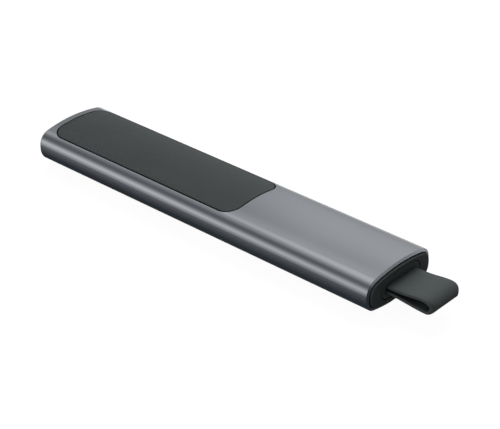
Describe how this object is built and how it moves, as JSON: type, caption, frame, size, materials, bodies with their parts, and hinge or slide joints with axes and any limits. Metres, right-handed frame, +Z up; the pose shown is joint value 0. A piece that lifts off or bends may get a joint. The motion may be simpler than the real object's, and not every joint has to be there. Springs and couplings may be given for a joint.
{
  "type": "presentation clicker",
  "caption": "Slim aluminium presentation clicker with a flush dark window, round buttons underneath and a pull-out USB receiver with a strap loop.",
  "frame": {"origin": "middle of the length and width, on the plane of the flat land that the clicker rests on", "axes": "+X along the body towards the pull loop, +Z up through the dark window, +Y across; the buttons face -Z"},
  "size_m": [0.1466, 0.028, 0.0121],
  "materials": {
    "anodised_aluminium": "bead-blasted gunmetal anodising",
    "window_plastic": "fine matt moulding, transparent to radio",
    "cap_plastic": "matt moulding",
    "frame_plastic": "plain moulding",
    "button_plastic": "fine matt moulding with a moulded symbol",
    "strap_rubber": "matt silicone rubber",
    "adhesive_tape": "double-sided tape",
    "spring_steel": "bright rolled steel",
    "plug_steel": "nickel-plated sheet steel",
    "screw_steel": "blackened steel",
    "circuit_board_laminate": "green solder mask",
    "chip_epoxy": "moulded epoxy",
    "ceramic": "fired ceramic",
    "contact_gold": "gold plating",
    "battery_foil": "matt pouch foil",
    "lead_insulation": "silicone insulation",
    "ribbon_film": "polyimide film",
    "weight_metal": "sintered heavy metal",
    "clear_plastic": "clear moulding",
    "tongue_plastic": "glass-filled moulding",
    "led_package": "cast resin"
  },
  "bodies": {
    "housing": {"sleeve": "anodised_aluminium", "radio_window": "window_plastic", "window_adhesive": "adhesive_tape", "inner_frame": "frame_plastic", "nose_cap": "cap_plastic", "tail_cap": "cap_plastic", "retention_springs": "spring_steel", "button_carrier": "frame_plastic", "circuit_board": "circuit_board_laminate", "board_screws": "screw_steel", "motor_case": "spring_steel", "motor_base": "spring_steel", "motor_shaft": "spring_steel", "radio_shield": "spring_steel", "radio_chip": "chip_epoxy", "antenna": "ceramic", "motion_sensor": "chip_epoxy", "charging_chip": "chip_epoxy", "clock_crystal": "spring_steel", "status_led": "led_package", "light_pipe": "clear_plastic", "battery_cell": "battery_foil", "battery_adhesive": "adhesive_tape", "battery_leads": "lead_insulation", "charging_ribbon": "ribbon_film", "charging_board": "circuit_board_laminate", "charging_board_screws": "screw_steel", "charging_socket": "plug_steel", "charging_tongue": "tongue_plastic", "pointer_switch": "chip_epoxy", "next_switch": "chip_epoxy", "back_switch": "chip_epoxy"},
    "pointer": {"pointer_button": "button_plastic", "pointer_plunger": "frame_plastic"},
    "next": {"next_button": "button_plastic", "next_plunger": "frame_plastic"},
    "back": {"back_button": "button_plastic", "back_plunger": "frame_plastic"},
    "rotor": {"motor_rotor": "weight_metal"},
    "receiver": {"receiver_head": "cap_plastic", "receiver_plug": "plug_steel", "receiver_tongue": "tongue_plastic", "receiver_contacts": "contact_gold", "receiver_board": "circuit_board_laminate", "receiver_chip": "chip_epoxy", "pull_loop": "strap_rubber", "loop_pins": "spring_steel"}
  },
  "joints": [
    {"name": "receiver_pull", "type": "slide", "parent": "housing", "child": "receiver", "axis": [1, 0, 0], "range_m": [0, 0.036]},
    {"name": "pointer_press", "type": "slide", "parent": "housing", "child": "pointer", "axis": [0, 0, 1], "range_m": [0, 0.00035], "stiffness_N_per_m": 3000, "springref_m": -0.0002},
    {"name": "next_press", "type": "slide", "parent": "housing", "child": "next", "axis": [0, 0, 1], "range_m": [0, 0.00035], "stiffness_N_per_m": 3000, "springref_m": -0.0002},
    {"name": "back_press", "type": "slide", "parent": "housing", "child": "back", "axis": [0, 0, 1], "range_m": [0, 0.00035], "stiffness_N_per_m": 3000, "springref_m": -0.0002},
    {"name": "rotor_spin", "type": "hinge", "parent": "housing", "child": "rotor", "pos_m": [-0.05575, 0, 0.00735], "axis": [0, 0, 1], "continuous": true}
  ]
}
